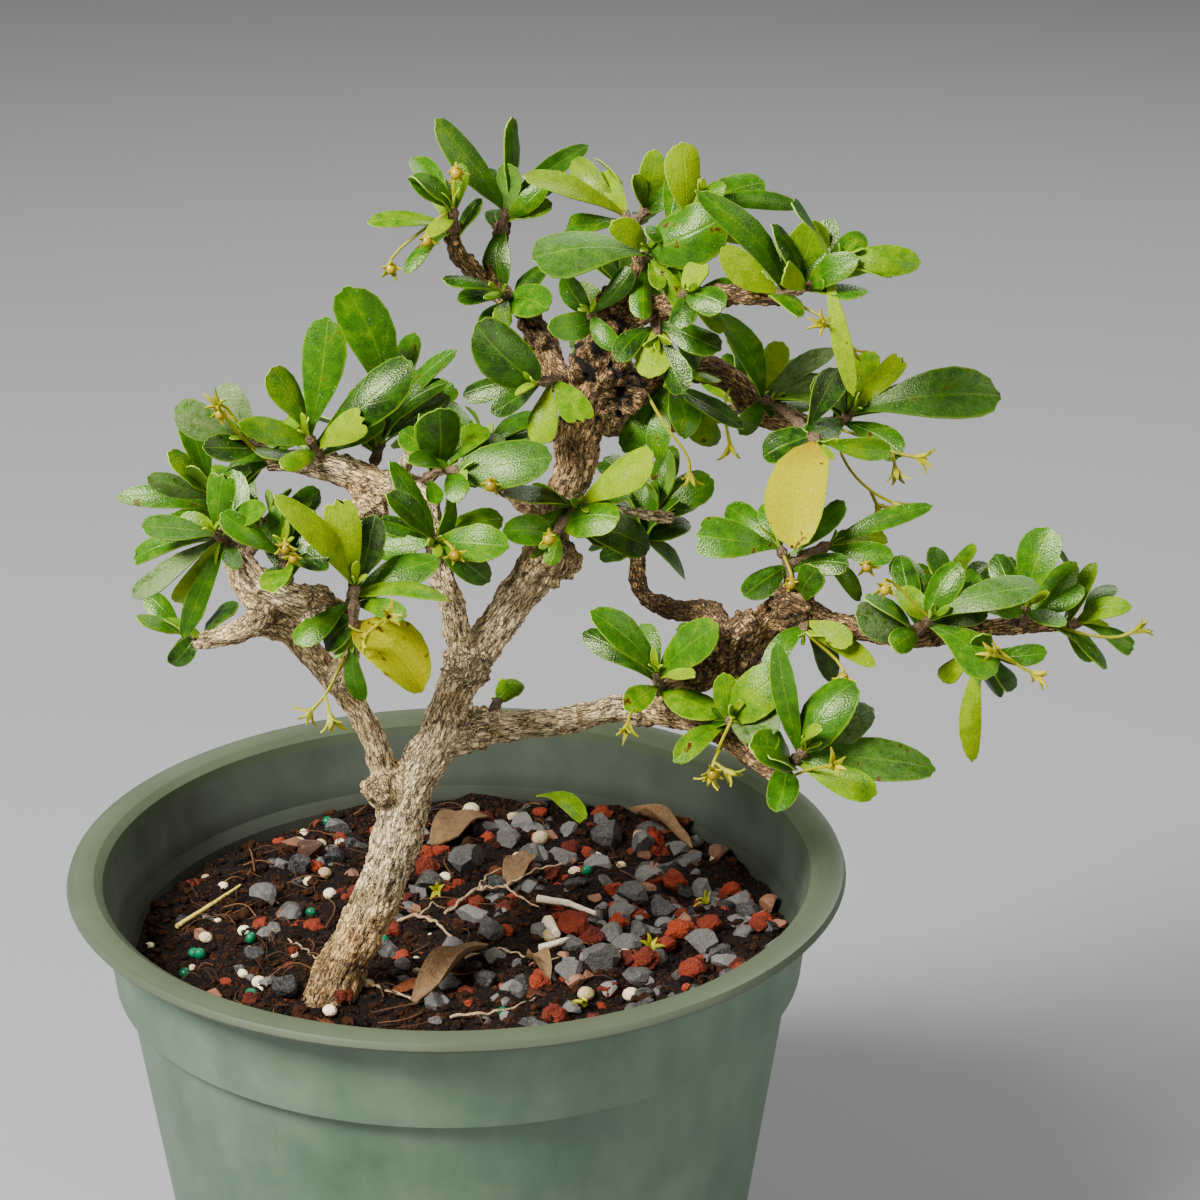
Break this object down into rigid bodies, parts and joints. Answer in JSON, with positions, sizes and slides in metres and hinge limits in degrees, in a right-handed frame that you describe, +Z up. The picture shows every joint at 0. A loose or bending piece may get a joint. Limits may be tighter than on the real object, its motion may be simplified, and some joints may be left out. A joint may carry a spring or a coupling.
{
  "type": "potted fukien tea bonsai",
  "caption": "Fukien tea bonsai with a slanting, burred trunk, spreading arms, rosettes of small spoon-shaped leaves and stalked drupes, in a round green nursery pot of gritty soil.",
  "frame": {"origin": "the middle of the underside of the pot's floor, on the surface that the pot stands on", "axes": "+Z up; the front that the picture shows faces -Y, with +X to its right"},
  "size_m": [0.2067, 0.155, 0.2605],
  "materials": {
    "pot_plastic": "satin",
    "soil": "matte",
    "bark": "matte",
    "leaf": "satin",
    "fruit": "satin"
  },
  "bodies": {
    "root": {"pot": "pot_plastic", "soil": "soil", "trunk_and_branches": "bark", "shoot_arm_back": "leaf", "shoot_arm_inner": "leaf", "shoot_arm_middle": "leaf", "shoot_arm_tip": "leaf", "shoot_arm_under": "leaf", "shoot_back_high_shoot": "leaf", "shoot_back_left_inner": "leaf", "shoot_back_left_shoot": "leaf", "shoot_back_right_shoot": "leaf", "shoot_behind_centre": "leaf", "shoot_centre_hub": "leaf", "shoot_centre_low": "leaf", "shoot_crown_arch": "leaf", "shoot_crown_far_left": "leaf", "shoot_crown_front": "leaf", "shoot_crown_hub": "leaf", "shoot_crown_left": "leaf", "shoot_crown_low": "leaf", "shoot_crown_middle": "leaf", "shoot_crown_right": "leaf", "shoot_fork_right": "leaf", "shoot_fork_sprout": "leaf", "shoot_high_inner": "leaf", "shoot_high_tip": "leaf", "shoot_high_under": "leaf", "shoot_left_back": "leaf", "shoot_left_centre_front": "leaf", "shoot_left_front": "leaf", "shoot_left_front_inner": "leaf", "shoot_left_high": "leaf", "shoot_left_outer": "leaf", "shoot_left_peak": "leaf", "shoot_left_side": "leaf", "shoot_left_stub": "leaf", "shoot_low_left_of_right": "leaf", "shoot_low_right_front": "leaf", "shoot_low_right_inner": "leaf", "shoot_middle_inner": "leaf", "shoot_middle_tip": "leaf", "shoot_middle_top": "leaf", "shoot_right_back": "leaf", "shoot_right_core": "leaf", "shoot_trunk_right": "leaf", "fruit_arm": "fruit", "fruit_arm_tip": "fruit", "fruit_high_tip": "fruit", "fruit_left_high": "fruit", "fruit_left_low": "fruit", "fruit_left_middle": "fruit", "fruit_long_stalk": "fruit", "fruit_low_left": "fruit", "fruit_low_tip": "fruit", "fruit_middle": "fruit", "fruit_middle_end": "fruit", "fruit_middle_tip": "fruit"}
  },
  "joints": []
}
